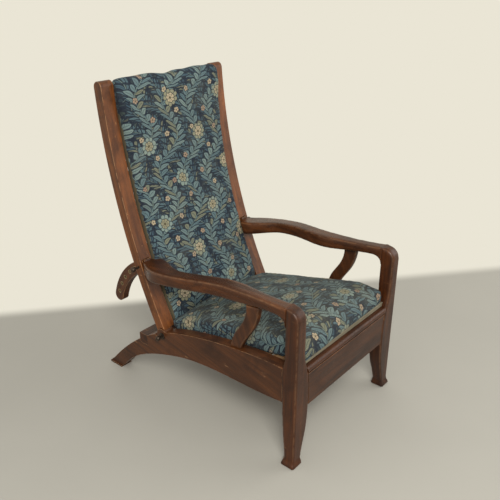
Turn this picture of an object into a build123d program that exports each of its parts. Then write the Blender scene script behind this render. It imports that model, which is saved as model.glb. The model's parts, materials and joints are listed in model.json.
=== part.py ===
from build123d import *
import math
import os

# Reclining armchair. All lengths are in millimetres.
# X runs across, Y from the front feet to the rear, Z up from the floor.
# Y is measured from the front edge of the front feet, and save() moves it to the middle of the depth.

# Overall sizes
overall_depth = 860.0
feet_width = 570.0
side_inset = 8.0
overrun = 60.0
fixed_fit = 0.05
soft_gap = 0.3

# Front legs
leg_front = 6.0
leg_full_depth = 53.0
post_depth = 44.0
post_width = 44.0
leg_bracket_width = 68.0
foot_width = 47.0
foot_height = 8.0
foot_flare_height = 24.0
foot_flare_share = 0.7
leg_toe_share = 0.4
post_corner_radius = 36.0
leg_rear_shares = [(0.70, 0.072), (0.80, 0.317), (0.94, 0.65), (1.0, 0.95)]
leg_shoulder_share = 1.108
leg_inner_shares = [(0.55, 0.072), (0.69, 0.174), (0.90, 0.348), (1.0, 0.554), (0.88, 0.95)]
leg_inner_top_share = 1.18

# Side rails with the sabre rear legs
rail_thickness = 37.0
rail_outer_inset = 5.0
rail_front_height = 334.0
rail_top_front_shares = [(0.425, 0.883), (0.751, 0.553), (0.934, 0.262)]
rail_top_rear_shares = [(0.379, 0.766), (0.748, 0.359), (0.933, 0.104)]
rail_arch_share = 0.952
rail_under_front_shares = [(0.242, 0.913), (0.509, 0.896), (0.806, 0.818)]
rail_under_rear_shares = [(0.013, 0.675), (0.406, 0.450), (0.728, 0.095)]
rear_foot_length = 62.0
rear_foot_width = 47.0
rear_foot_height = 6.0
rail_tenon_length = 30.0
rail_tenon_thickness = 13.0
rail_tenon_shoulder = 18.0

# Front rail, nosing and corner blocks
front_rail_face = 8.0
front_rail_thickness = 25.0
front_rail_bottom = 197.0
front_rail_drop = 4.0
nosing_height = 23.0
nosing_projection = 3.0
nosing_quirk = 2.5
front_tenon_length = 24.0
front_tenon_thickness = 11.0
front_tenon_shoulder = 16.0
corner_block_leg = 26.0
corner_block_height = 84.0

# Rear cross rail, let into the tops of the side rails
cross_rail_place_shares = (0.262, 0.8615)
cross_rail_depth = 41.0
cross_rail_height = 38.0

# Seat deck
deck_front = 24.0
deck_rear = 528.0
deck_rise = 15.0
deck_thickness = 14.0
deck_slope = 11.9
deck_strip_depth = 42.0
deck_side_gap = 3.0
slat_count = 7
slat_depth = 46.0
slat_first = 58.0
bearer_width = 24.0
bearer_height = 30.0
bearer_clear_of_leg = 4.0
bearer_screw_count = 4
bearer_screw_length = 42.0
bearer_screw_drop_share = 0.6
slat_screw_length = 26.0
screw_radius = 2.2
screw_head_radius = 4.4
screw_head_depth = 2.8
screw_end_margin = 34.0

# Arms
arm_front_thickness = 33.0
arm_fall = 54.0
arm_above_peg = 22.4
arm_end_before_peg = 15.9
arm_front_width = 44.0
arm_lobe_width = 79.0
arm_knee_radius = 32.0
arm_knee_drop = 41.0
arm_knee_shares = (0.22, 0.30)
arm_top_shares = [(0.20, 0.16), (0.47, 0.31), (0.68, 0.57), (0.90, 0.92)]
arm_under_shares = [(0.16, 0.12), (0.34, 0.38), (0.47, 0.47), (0.61, 0.60), (0.75, 0.82), (0.88, 1.12)]
arm_under_end_share = 1.27
arm_outer_shares = [
    (0.12, 0.13), (0.18, 0.31), (0.04, 0.44), (-0.36, 0.57), (-0.61, 0.71), (-0.58, 0.82), (-0.24, 0.92),
    (0.09, 0.965),
]
arm_inner_shares = [
    (1.07, 0.07), (1.25, 0.22), (1.45, 0.36), (1.23, 0.47), (0.89, 0.57), (0.69, 0.67), (0.67, 0.73),
]
arm_lobe_shares = [(0.47, 0.78), (0.63, 0.83), (0.85, 0.89)]
arm_lobe_tip_share = 0.965
arm_rear_line_shares = (0.34, 0.90)
arm_tenon_cover = 5.0
arm_tenon_height = 20.0

# Arm struts
strut_thickness = 22.0
strut_inset = 9.0
strut_foot_to_head = 90.0
strut_head_share = 0.093
strut_front_shares = [(0.22, -0.18), (0.22, 0.0), (0.45, 0.27), (0.76, 0.53), (0.94, 0.80), (0.98, 1.12)]
strut_rear_shares = [(0.30, 1.12), (0.45, 0.88), (0.28, 0.57), (-0.07, 0.27), (-0.26, -0.02), (-0.36, -0.18)]

# Back stiles: the centre line is an arc from the pivot through the lock peg to the top
pivot_y = 562.0
pivot_z = 231.0
back_top_y = 789.0
back_top_z = 1038.0
stile_inset = 9.0
stile_width = 48.0
stile_depth = 36.0
tongue_thickness = 19.0
tongue_clearance = 0.4
tongue_end_clearance = 0.6
tongue_from_outer = 5.5
shoulder_radius = 26.0
shoulder_clearance = 0.6
sweep_clearance = 1.0
sweep_margin = 2.5

# Back frame
back_rail_thickness = 14.0
back_rail_from_rear = 3.0
back_bottom_rail_start = 52.0
back_bottom_rail_height = 46.0
back_top_rail_height = 52.0
back_top_rail_below_end = 14.0
back_slat_count = 5
back_slat_width = 42.0
back_slat_thickness = 8.0
back_tenon_length = 16.0
back_tenon_thickness = 8.0

# Recline
hole_radius = 244.0
rest_angle = 65.8
hole_pitch_angle = 9.1
hole_count = 6

# Quadrants
quadrant_depth = 40.5
quadrant_thickness = 26.0
quadrant_from_stile_face = 12.0
quadrant_side_clearance = 0.4
quadrant_radial_clearance = 0.8
quadrant_tip_angle = 11.0
quadrant_tenon_length = 34.0
arm_to_stile_gap = 2.0
eyelet_outer_radius = 7.0
eyelet_inner_radius = 5.5

# Pegs, pins and washers
peg_radius = 5.0
running_fit = 0.05
peg_knob_radius = 8.5
peg_knob_standoff = 22.0
peg_neck_radius = 3.8
peg_tip_back = 0.8
pin_radius = 5.0
pin_knob_radius = 8.5
pin_knob_standoff = 19.0
pin_neck_radius = 4.0
pin_end_inset = 1.5
washer_radius = 12.0
washer_thickness = 2.5

# Seat cushion
cushion_side_gap = 4.0
cushion_rear = 545.0
cushion_edge = 62.0
cushion_crown = 27.0
cushion_stations_shares = [
    (0.0, 0.930, 0.50, 0.25), (0.02, 0.945, 0.74, 0.45), (0.07, 0.950, 0.93, 0.62), (0.14, 0.995, 1.0, 0.80),
    (0.30, 0.980, 0.99, 0.95), (0.50, 0.972, 0.95, 1.0), (0.70, 0.976, 0.90, 0.95), (0.86, 0.986, 0.84, 0.78),
    (0.94, 0.994, 0.80, 0.60), (0.98, 0.990, 0.72, 0.42), (1.0, 0.980, 0.55, 0.25),
]

# Back pad
pad_side_gap = 1.0
pad_start = 27.0
pad_past_end = 1.0
pad_front = 46.0
pad_crown = 15.0
pad_lobe_front_share = 0.65
pad_lobe_crown_share = 0.30
pad_stations_shares = [
    (0.0, 0.975, 0.42, 0.10), (0.02, 0.990, 0.52, 0.25), (0.08, 1.0, 0.62, 0.60), (0.22, 0.995, 0.65, 0.90),
    (0.40, 0.985, 0.66, 1.0), (0.58, 0.982, 0.70, 1.0), (0.74, 0.986, 0.80, 0.95), (0.88, 0.995, 0.94, 0.85),
    (0.95, 1.0, 0.98, 0.65), (0.985, 0.99, 0.86, 0.45), (1.0, 0.975, 0.66, 0.25),
]

# Places worked out from the sizes above
half_width = feet_width / 2
leg_outer = half_width - side_inset
rail_outer = leg_outer - rail_outer_inset
rail_inner = rail_outer - rail_thickness
stile_outer = leg_outer - stile_inset
stile_inner = stile_outer - stile_width
quadrant_outer = stile_outer - quadrant_from_stile_face
quadrant_inner = quadrant_outer - quadrant_thickness
tongue_outer = stile_outer - tongue_from_outer
tongue_inner = tongue_outer - tongue_thickness
strut_outer = leg_outer - strut_inset
strut_inner = strut_outer - strut_thickness
post_rear = leg_front + post_depth
post_inner = leg_outer - post_width
half_stile = stile_depth / 2
recline_range = hole_pitch_angle * (hole_count - 1)
deck_tangent = math.tan(math.radians(deck_slope))
round_middle_share = 1 - math.sqrt(1 / 2)
front_rail_top = rail_front_height - front_rail_drop
deck_top = front_rail_top + deck_rise


def polar(radius, degrees):
    """A point (y, z) at a radius and an angle about the pivot."""
    turn = math.radians(degrees)
    return (pivot_y + radius * math.cos(turn), pivot_z + radius * math.sin(turn))


def circle_centre(first, second, third):
    """The centre of the circle through three points."""
    ax, ay = second[0] - first[0], second[1] - first[1]
    bx, by = third[0] - first[0], third[1] - first[1]
    cross = 2 * (ax * by - ay * bx)
    a_square = ax * ax + ay * ay
    b_square = bx * bx + by * by
    centre_y = first[0] + (by * a_square - ay * b_square) / cross
    centre_z = first[1] + (ax * b_square - bx * a_square) / cross
    return (centre_y, centre_z)


pivot = (pivot_y, pivot_z)
peg_point = polar(hole_radius, rest_angle)
arm_height = peg_point[1] + arm_above_peg + arm_fall
arm_end_y = peg_point[0] - arm_end_before_peg
back_centre = circle_centre(pivot, peg_point, (back_top_y, back_top_z))
back_radius = math.hypot(pivot_y - back_centre[0], pivot_z - back_centre[1])
back_start_turn = math.atan2(pivot_z - back_centre[1], pivot_y - back_centre[0])
back_end_turn = math.atan2(back_top_z - back_centre[1], back_top_y - back_centre[0])
back_length = back_radius * (back_end_turn - back_start_turn)
stile_foot_angle = 90 + math.degrees(back_start_turn)


def back_point(station, forward):
    """A point (y, z) at a station along the back's centre line, moved forward from it."""
    turn = back_start_turn + station / back_radius
    radius = back_radius - forward
    return (back_centre[0] + radius * math.cos(turn), back_centre[1] + radius * math.sin(turn))


def back_band(start, end, rear, front):
    """The outline of a band that follows the back's centre line."""
    middle = (start + end) / 2
    return make_face([
        ThreePointArc(back_point(start, rear), back_point(middle, rear), back_point(end, rear)),
        Line(back_point(end, rear), back_point(end, front)),
        ThreePointArc(back_point(end, front), back_point(middle, front), back_point(start, front)),
        Line(back_point(start, front), back_point(start, rear)),
    ])


def plate(outline, x_from, x_to):
    """A plate between two X places, from an outline drawn in Y and Z."""
    low, high = min(x_from, x_to), max(x_from, x_to)
    return extrude(Plane.YZ.offset(low) * outline, amount=high - low, dir=(1, 0, 0))


def front_plate(outline, y_from, y_to):
    """A plate between two Y places, from an outline drawn in X and Z."""
    return extrude(Plane.XZ.offset(-y_from) * outline, amount=y_to - y_from, dir=(0, 1, 0))


def plan_plate(outline, z_from, z_to):
    """A plate between two heights, from an outline drawn in X and Y."""
    return extrude(Plane.XY.offset(z_from) * outline, amount=z_to - z_from, dir=(0, 0, 1))


def block(x_from, x_to, y_from, y_to, z_from, z_to):
    """A block between two corners."""
    size = (abs(x_to - x_from), y_to - y_from, z_to - z_from)
    middle = ((x_from + x_to) / 2, (y_from + y_to) / 2, (z_from + z_to) / 2)
    return Pos(*middle) * Box(*size)


def cross_rod(radius, x_from, x_to, at):
    """A round rod along X through a point (y, z)."""
    middle = Pos((x_from + x_to) / 2, at[0], at[1])
    return middle * Rot(0, 90, 0) * Cylinder(radius, abs(x_to - x_from))


def spread(shares, origin, size):
    """Outline points from shares of two sizes, measured from an origin."""
    return [(origin[0] + size[0] * first, origin[1] + size[1] * second) for first, second in shares]


def disc(radius, at):
    """A round outline about a point (y, z)."""
    return Pos(*at) * Circle(radius)


def deck_height(y):
    """The height of the deck's top at a place in Y."""
    return deck_top - (y - deck_front) * deck_tangent


def recline_fan(half, front_angle, rear_angle, reach):
    """The space that a straight band about the pivot sweeps while the back reclines."""
    front, rear = math.radians(front_angle), math.radians(rear_angle)
    front_foot = (pivot_y - half * math.sin(front), pivot_z + half * math.cos(front))
    rear_foot = (pivot_y + half * math.sin(rear), pivot_z - half * math.cos(rear))
    front_far = (front_foot[0] + reach * math.cos(front), front_foot[1] + reach * math.sin(front))
    rear_far = (rear_foot[0] + reach * math.cos(rear), rear_foot[1] + reach * math.sin(rear))
    return make_face(Polyline(front_foot, front_far, rear_far, rear_foot, close=True))


def front_leg():
    """Foot, swelling leg and square post, as two outlines that cross."""
    rear_edge = leg_front + leg_full_depth
    side_points = spread(leg_rear_shares, (leg_front, 0), (leg_full_depth, rail_front_height))
    shoulder_foot = (rear_edge, rail_front_height * leg_rear_shares[-1][1])
    shoulder_top = (post_rear, rail_front_height * leg_shoulder_share)
    corner_start = (leg_front, arm_height - post_corner_radius)
    corner_end = (leg_front + post_corner_radius, arm_height)
    corner_middle = (
        leg_front + post_corner_radius * round_middle_share,
        arm_height - post_corner_radius * round_middle_share,
    )
    flare_middle = (leg_front * foot_flare_share, (foot_height + foot_flare_height) / 2)
    side = make_face([
        Line((0, 0), (0, foot_height)),
        ThreePointArc((0, foot_height), flare_middle, (leg_front, foot_flare_height)),
        Line((leg_front, foot_flare_height), corner_start),
        ThreePointArc(corner_start, corner_middle, corner_end),
        Line(corner_end, (post_rear, arm_height)),
        Line((post_rear, arm_height), shoulder_top),
        Spline(shoulder_top, shoulder_foot, tangents=[(0, -1), (0, -1)]),
        Spline(*reversed(side_points)),
        Line(side_points[0], (foot_width, foot_height)),
        Line((foot_width, foot_height), (foot_width, 0)),
        Line((foot_width, 0), (0, 0)),
    ])
    inner_points = spread(leg_inner_shares, (-leg_outer, 0), (leg_bracket_width, rail_front_height))
    inner_top = (-post_inner, rail_front_height * leg_inner_top_share)
    foot_inner = foot_width - half_width
    outer_flare = (-half_width + side_inset * foot_flare_share, flare_middle[1])
    across = make_face([
        Line((-half_width, 0), (-half_width, foot_height)),
        ThreePointArc((-half_width, foot_height), outer_flare, (-leg_outer, foot_flare_height)),
        Line((-leg_outer, foot_flare_height), (-leg_outer, arm_height)),
        Line((-leg_outer, arm_height), (-post_inner, arm_height)),
        Line((-post_inner, arm_height), inner_top),
        Spline(inner_top, *reversed(inner_points), tangents=[(0, -1), (-leg_toe_share, -1)]),
        Line(inner_points[0], (foot_inner, foot_height)),
        Line((foot_inner, foot_height), (foot_inner, 0)),
        Line((foot_inner, 0), (-half_width, 0)),
    ])
    return plate(side, -half_width - overrun, 0) & front_plate(across, -overrun, overall_depth)


def rail_tenon():
    """The side rail's tenon into the front leg."""
    middle = rail_outer - rail_thickness / 2
    half = rail_tenon_thickness / 2
    shoulder = leg_front + leg_full_depth
    start = shoulder - rail_tenon_length
    low = pivot_z * rail_arch_share + rail_tenon_shoulder
    high = rail_front_height - rail_tenon_shoulder
    return block(-middle - half, -middle + half, start, shoulder + half, low, high)


def front_rail_tenon():
    """The front rail's tenon into the front leg."""
    middle = front_rail_face + front_rail_thickness / 2
    half = front_tenon_thickness / 2
    inner = leg_outer - leg_bracket_width
    low = front_rail_bottom + front_tenon_shoulder
    high = front_rail_top - nosing_height - front_tenon_shoulder
    return block(-inner - front_tenon_length, -inner + half, middle - half, middle + half, low, high)


def rail_top_front():
    """The points of the side rail's top edge in front of the pivot."""
    return spread(rail_top_front_shares, (0, pivot_z), (pivot_y, rail_front_height - pivot_z))


def side_rail(leg):
    """Side rail and sabre rear leg in one piece, with the open mortise for the stile's tongue."""
    rear_low = (overall_depth, 0)
    rear_high = (overall_depth, rear_foot_height)
    toe_low = (overall_depth - rear_foot_length, 0)
    toe_high = (overall_depth - rear_foot_length, rear_foot_height)
    rear_size = (overall_depth - pivot_y, pivot_z)
    top_points = rail_top_front() + spread(rail_top_rear_shares, (pivot_y, 0), rear_size)
    under_points = spread(rail_under_front_shares, (0, 0), (pivot_y, pivot_z))
    under_points += spread(rail_under_rear_shares, (pivot_y, 0), rear_size)
    start_y = post_rear - leg_front
    top_start = (start_y, rail_front_height)
    under_start = (start_y, pivot_z * rail_arch_share)
    outline = make_face([
        Spline(top_start, *top_points),
        Line(top_points[-1], rear_high),
        Line(rear_high, rear_low),
        Line(rear_low, toe_low),
        Line(toe_low, toe_high),
        Line(toe_high, under_points[-1]),
        Spline(*reversed(under_points), under_start),
        Line(under_start, top_start),
    ])
    rail = plate(outline, -rail_outer, -rail_inner)
    foot_outer = (rail_outer + rail_inner + rear_foot_width) / 2
    rail += block(-foot_outer, rear_foot_width - foot_outer, toe_low[0], overall_depth, 0, rear_foot_height)
    rail += plate(disc(shoulder_radius - shoulder_clearance, pivot), -rail_outer, -rail_inner)
    stile_sweep = recline_fan(
        half_stile + sweep_clearance,
        stile_foot_angle + sweep_margin,
        stile_foot_angle - recline_range,
        2 * overrun,
    )
    sweep = plate(stile_sweep, -rail_outer - overrun, -rail_inner + overrun)
    rail -= sweep - cross_rod(shoulder_radius - shoulder_clearance, -half_width - overrun, 0, pivot)
    tongue_half = half_stile + tongue_end_clearance
    mortise_sides = (-tongue_outer - tongue_clearance, -tongue_inner + tongue_clearance)
    tongue_sweep = recline_fan(
        tongue_half, stile_foot_angle + sweep_margin, stile_foot_angle - recline_range, 2 * overrun
    )
    rail -= plate(tongue_sweep, *mortise_sides)
    rail -= cross_rod(tongue_half, *mortise_sides, pivot)
    rail -= cross_rod(pin_radius + fixed_fit, -rail_outer - overrun, -rail_inner + overrun, pivot)
    rail -= rear_cross_rail()
    rail -= leg
    return rail + rail_tenon()


def rear_cross_rail():
    """The cross rail behind the seat, housed in the side rails' tops."""
    front = pivot_y + (overall_depth - pivot_y) * cross_rail_place_shares[0]
    top = pivot_z * cross_rail_place_shares[1]
    return block(-rail_outer, rail_outer, front, front + cross_rail_depth, top - cross_rail_height, top)


def front_rail(legs):
    """Front seat rail between the legs, tenoned into them."""
    top = front_rail_top - nosing_height
    rear = front_rail_face + front_rail_thickness
    reach = leg_outer - post_width / 2
    rail = block(-reach, reach, front_rail_face, rear, front_rail_bottom, top)
    for leg in legs:
        rail -= leg
    tenon = front_rail_tenon()
    return rail + tenon + mirror(tenon, about=Plane.YZ)


def front_nosing(legs):
    """Rounded strip along the top of the front rail, with a quirk under it."""
    low = front_rail_top - nosing_height
    face = front_rail_face - nosing_projection
    rear = front_rail_face + front_rail_thickness
    radius = (nosing_height - nosing_quirk) / 2
    round_low = (face + radius, low + nosing_quirk)
    round_high = (face + radius, front_rail_top)
    outline = make_face([
        Line((rear, low), (front_rail_face + nosing_quirk, low)),
        Line((front_rail_face + nosing_quirk, low), (front_rail_face + nosing_quirk, low + nosing_quirk)),
        Line((front_rail_face + nosing_quirk, low + nosing_quirk), round_low),
        ThreePointArc(round_low, (face, low + nosing_quirk + radius), round_high),
        Line(round_high, (rear, front_rail_top)),
        Line((rear, front_rail_top), (rear, low)),
    ])
    nosing = plate(outline, -leg_outer + post_width / 2, leg_outer - post_width / 2)
    for leg in legs:
        nosing -= leg
        nosing -= Pos(0, -2 * nosing_projection, 0) * leg
    return nosing


def corner_blocks(legs, rail):
    """Triangular glue blocks between the front rail and the legs."""
    rear = front_rail_face + front_rail_thickness
    inner = leg_outer - leg_bracket_width
    low = front_rail_bottom + front_tenon_shoulder
    outline = make_face(Polyline(
        (-inner - corner_block_leg / 2, rear),
        (-inner + corner_block_leg, rear),
        (-inner - corner_block_leg / 2, rear + corner_block_leg),
        close=True,
    ))
    one = largest(plan_plate(outline, low, low + corner_block_height) - legs[0] - rail)
    return [one, mirror(one, about=Plane.YZ)]


def arm(quadrant_bar):
    """Arm: side outline crossed with the plan, ended clear of the back, with the quadrant's mortise."""
    run = arm_end_y - post_rear
    top_start = (post_rear, arm_height)
    top_end = (arm_end_y, arm_height - arm_fall)
    under_level = arm_height - arm_front_thickness
    knee_rear = (post_rear + arm_knee_radius, under_level)
    knee_low = (post_rear, under_level - arm_knee_drop)
    knee_middle = (
        post_rear + arm_knee_radius * arm_knee_shares[0],
        under_level - arm_knee_drop * arm_knee_shares[1],
    )
    under_end = (arm_end_y, under_level - arm_fall * arm_under_end_share)
    top_points = spread(arm_top_shares, top_start, (run, -arm_fall))
    under_points = spread(arm_under_shares, (post_rear, under_level), (run, -arm_fall))
    side = make_face([
        Spline(top_start, *top_points, top_end),
        Line(top_end, under_end),
        Spline(under_end, *reversed(under_points), knee_rear),
        ThreePointArc(knee_rear, knee_middle, knee_low),
        Line(knee_low, top_start),
    ])
    plan_start = (-leg_outer, post_rear)
    outer_points = spread(arm_outer_shares, plan_start, (arm_front_width, run))
    inner_points = spread(arm_inner_shares, plan_start, (arm_front_width, run))
    lobe_points = spread(arm_lobe_shares, plan_start, (arm_lobe_width, run))
    front_inner = (-leg_outer + arm_front_width, post_rear)
    lobe_tip = (-leg_outer + arm_lobe_width, post_rear + run * arm_lobe_tip_share)
    rear_outer, rear_inner = [
        (-leg_outer + arm_lobe_width * share, arm_end_y) for share in arm_rear_line_shares
    ]
    plan = make_face([
        Spline(plan_start, *outer_points, rear_outer, tangents=[(0, 1), (1, 0)]),
        Line(rear_outer, rear_inner),
        Spline(rear_inner, lobe_tip, tangents=[(1, 0), (0, -1)]),
        Spline(lobe_tip, *reversed(lobe_points), *reversed(inner_points), front_inner),
        Line(front_inner, plan_start),
    ])
    blank = plate(side, -leg_outer - overrun, 0) & plan_plate(plan, 0, 2 * arm_height)
    stile_room = back_band(0, back_length, -half_stile, half_stile + arm_to_stile_gap)
    blank -= plate(stile_room, -leg_outer - overrun, -stile_inner + arm_to_stile_gap)
    pad_face = pad_front * pad_lobe_front_share + pad_crown * pad_lobe_crown_share
    pad_room = back_band(0, back_length, -half_stile, pad_face + arm_to_stile_gap)
    blank -= plate(pad_room, -stile_inner - arm_to_stile_gap, 0)
    return blank - quadrant_bar


def arm_strut(rail, arm_piece):
    """Curved strut between the side rail and the arm, fitted to both."""
    base = rail_top_front()[0]
    rise = arm_height - arm_front_thickness - arm_fall * strut_head_share - base[1]
    front = spread(strut_front_shares, base, (-strut_foot_to_head, rise))
    rear = spread(strut_rear_shares, base, (-strut_foot_to_head, rise))
    outline = make_face([
        Spline(*front),
        Line(front[-1], rear[0]),
        Spline(*rear),
        Line(rear[-1], front[0]),
    ])
    blank = plate(outline, -strut_outer, -strut_inner) - rail - arm_piece
    return largest(blank)


def largest(shape):
    """The biggest solid of a cut piece."""
    return max(shape.solids(), key=lambda solid: solid.volume)


def quadrant_band(low_radius, high_radius, start, end):
    """A band about the pivot between two angles."""
    middle = (start + end) / 2
    return make_face([
        ThreePointArc(polar(high_radius, start), polar(high_radius, middle), polar(high_radius, end)),
        Line(polar(high_radius, end), polar(low_radius, end)),
        ThreePointArc(polar(low_radius, end), polar(low_radius, middle), polar(low_radius, start)),
        Line(polar(low_radius, start), polar(high_radius, start)),
    ])


def quadrant():
    """Curved bar about the pivot, tenoned into the arm's rear end, with a rounded tip and six holes."""
    low = hole_radius - quadrant_depth / 2
    high = hole_radius + quadrant_depth / 2
    tip_angle = quadrant_tip_angle + math.degrees(quadrant_depth / 2 / hole_radius)
    face_y = back_point(hole_radius, half_stile)[0] - arm_to_stile_gap
    root_angle = math.degrees(math.acos((face_y - pivot_y) / high))
    bar = plate(quadrant_band(low, high, tip_angle, root_angle), -quadrant_outer, -quadrant_inner)
    bar += plate(disc(quadrant_depth / 2, polar(hole_radius, tip_angle)), -quadrant_outer, -quadrant_inner)
    arm_top = arm_height - arm_fall
    bar -= block(-half_width, 0, face_y - overrun, face_y, pivot_z, arm_height + overrun)
    tenon_top = arm_top - arm_tenon_cover - quadrant_side_clearance
    bar += block(
        -quadrant_outer,
        -quadrant_inner,
        face_y - quadrant_tenon_length,
        face_y + quadrant_side_clearance,
        tenon_top - arm_tenon_height,
        tenon_top,
    )
    for index in range(hole_count):
        at = polar(hole_radius, rest_angle - index * hole_pitch_angle)
        bar -= cross_rod(eyelet_outer_radius + fixed_fit, -half_width, -quadrant_inner + overrun, at)
    return bar


def quadrant_eyelets():
    """The tubes that line the quadrant's holes."""
    eyelets = []
    for index in range(hole_count):
        at = polar(hole_radius, rest_angle - index * hole_pitch_angle)
        tube = cross_rod(eyelet_outer_radius, -quadrant_outer, -quadrant_inner, at)
        bore = cross_rod(eyelet_inner_radius, -quadrant_outer - overrun, -quadrant_inner + overrun, at)
        eyelets.append(tube - bore)
    return eyelets


def back_stile(top_rail, bottom_rail):
    """Curved stile with a round top, a tongue at the foot, and mortises for the quadrant and the rails."""
    end = back_length - half_stile
    stile = plate(back_band(0, end, -half_stile, half_stile), -stile_outer, -stile_inner)
    stile += plate(disc(half_stile, back_point(end, 0)), -stile_outer, -stile_inner)
    stile -= cross_rod(shoulder_radius, -stile_outer - overrun, -stile_inner + overrun, pivot)
    tongue = plate(back_band(0, overrun, -half_stile, half_stile), -tongue_outer, -tongue_inner)
    stile += tongue + cross_rod(half_stile, -tongue_outer, -tongue_inner, pivot)
    stile -= cross_rod(pin_radius + running_fit, -tongue_outer - overrun, -tongue_inner + overrun, pivot)
    low = hole_radius - quadrant_depth / 2 - quadrant_radial_clearance
    high = hole_radius + quadrant_depth / 2 + quadrant_radial_clearance
    slot_turn = math.degrees(stile_depth / hole_radius)
    slot = quadrant_band(low, high, rest_angle - slot_turn, rest_angle + slot_turn)
    outer = quadrant_outer + quadrant_side_clearance
    inner = quadrant_inner - quadrant_side_clearance
    stile -= plate(slot, -outer, -inner)
    stile -= cross_rod(peg_radius + running_fit, -stile_outer - overrun, -quadrant_inner, peg_point)
    return stile - top_rail - bottom_rail


def back_rail(start, height):
    """A cross rail of the back frame, with a tenon into each stile."""
    rear = back_rail_from_rear - half_stile
    front = rear + back_rail_thickness
    rail = plate(back_band(start, start + height, rear, front), -stile_inner, stile_inner)
    margin = (back_rail_thickness - back_tenon_thickness) / 2
    tenon_band = back_band(start + margin, start + height - margin, rear + margin, front - margin)
    return rail + plate(tenon_band, -stile_inner - back_tenon_length, stile_inner + back_tenon_length)


def back_bottom_rail():
    """Bottom rail of the back frame."""
    return back_rail(back_bottom_rail_start, back_bottom_rail_height)


def back_top_rail():
    """Top rail of the back frame."""
    return back_rail(back_length - back_top_rail_below_end - back_top_rail_height, back_top_rail_height)


def back_slats():
    """Upright slats between the rails of the back frame, curved as the stiles are."""
    rear = back_rail_from_rear - half_stile + (back_rail_thickness - back_slat_thickness) / 2
    start = back_bottom_rail_start + back_bottom_rail_height
    end = back_length - back_top_rail_below_end - back_top_rail_height
    band = back_band(start, end, rear, rear + back_slat_thickness)
    pitch = 2 * stile_inner / back_slat_count
    slats = []
    for index in range(back_slat_count):
        middle = -stile_inner + pitch * (index + 1 / 2)
        slats.append(plate(band, middle - back_slat_width / 2, middle + back_slat_width / 2))
    return slats


def padded_section(plane, half, base, edge, crown):
    """A section of a stuffed piece: flat base, upright sides and a crowned top."""
    top_arc = ThreePointArc((half, edge), (0, edge + crown), (-half, edge))
    return plane * make_face([
        Line((-half, base), (half, base)),
        Line((half, base), (half, edge)),
        top_arc,
        Line((-half, edge), (-half, base)),
    ])


def back_pad():
    """Stuffed pad between the stiles, crowned, thicker at the head, with drawn-in sides and ends."""
    half = stile_inner - pad_side_gap
    base = back_rail_from_rear - half_stile + back_rail_thickness + soft_gap
    length = back_length + pad_past_end - pad_start
    sections = []
    for along, wide, front, crown in pad_stations_shares:
        station = pad_start + length * along
        turn = back_start_turn + station / back_radius
        at = back_point(station, 0)
        plane = Plane(origin=(0, *at), x_dir=(1, 0, 0), z_dir=(0, math.sin(turn), -math.cos(turn)))
        sections.append(padded_section(plane, half * wide, base, pad_front * front, pad_crown * crown))
    return loft(sections, ruled=True)


def seat_cushion():
    """Loose box cushion on the sloping deck, crowned, with drawn-in sides and a lower rear edge."""
    slope = math.radians(deck_slope)
    length = (cushion_rear - deck_front) / math.cos(slope)
    sections = []
    for along, wide, edge, crown in cushion_stations_shares:
        station = length * along
        at = (0, deck_front + station * math.cos(slope), deck_top - station * math.sin(slope))
        plane = Plane(origin=at, x_dir=(-1, 0, 0), z_dir=(0, math.cos(slope), -math.sin(slope)))
        half = (rail_inner - cushion_side_gap) * wide
        sections.append(padded_section(plane, half, soft_gap, cushion_edge * edge, cushion_crown * crown))
    return loft(sections, ruled=True)


def deck_board(start, depth, half):
    """A board across the seat, with its top on the deck's slope."""
    rear = start + depth
    outline = make_face(Polyline(
        (start, deck_height(start)),
        (rear, deck_height(rear)),
        (rear, deck_height(rear) - deck_thickness),
        (start, deck_height(start) - deck_thickness),
        close=True,
    ))
    return plate(outline, -half, half)


def seat_deck_front(legs, nosing):
    """Pale front strip of the deck, on the nosing between the posts."""
    strip = deck_board(deck_front, deck_strip_depth, post_inner - deck_side_gap)
    for leg in legs:
        strip -= leg
    return strip - nosing


def slat_places():
    """Where each seat slat starts in Y."""
    first = deck_front + slat_first
    pitch = (deck_rear - slat_depth - first) / (slat_count - 1)
    return [first + pitch * index for index in range(slat_count)]


def screw(length):
    """A countersunk wood screw, pointing down from the origin."""
    shank = Pos(0, 0, -length / 2) * Cylinder(screw_radius, length)
    head = Pos(0, 0, -screw_head_depth / 2) * Cone(screw_radius, screw_head_radius, screw_head_depth)
    return shank + head


def bearer_screws(clearance):
    """The screws that hold one bearer to its side rail."""
    start = leg_front + leg_full_depth + bearer_clear_of_leg + screw_end_margin
    pitch = (deck_rear - screw_end_margin - start) / (bearer_screw_count - 1)
    face = -rail_inner + bearer_width + clearance
    screws = []
    for index in range(bearer_screw_count):
        y = start + pitch * index
        z = deck_height(y) - deck_thickness - bearer_height * bearer_screw_drop_share
        screws.append(Pos(face, y, z) * Rot(0, 90, 0) * screw(bearer_screw_length))
    return screws


def slat_screws():
    """The screws that hold the ends of the slats to one bearer."""
    screws = []
    for start in slat_places():
        middle = start + slat_depth / 2
        at = Pos(-rail_inner + bearer_width / 2, middle, deck_height(middle) - soft_gap)
        screws.append(at * Rot(-deck_slope, 0, 0) * screw(slat_screw_length))
    return screws


def seat_bearer(screws):
    """Bearer along a side rail's inner face, under the slats."""
    start = leg_front + leg_full_depth + bearer_clear_of_leg
    outline = make_face(Polyline(
        (start, deck_height(start) - deck_thickness),
        (deck_rear, deck_height(deck_rear) - deck_thickness),
        (deck_rear, deck_height(deck_rear) - deck_thickness - bearer_height),
        (start, deck_height(start) - deck_thickness - bearer_height),
        close=True,
    ))
    bearer = plate(outline, -rail_inner, -rail_inner + bearer_width)
    for one in screws:
        bearer -= one
    return bearer


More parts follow.
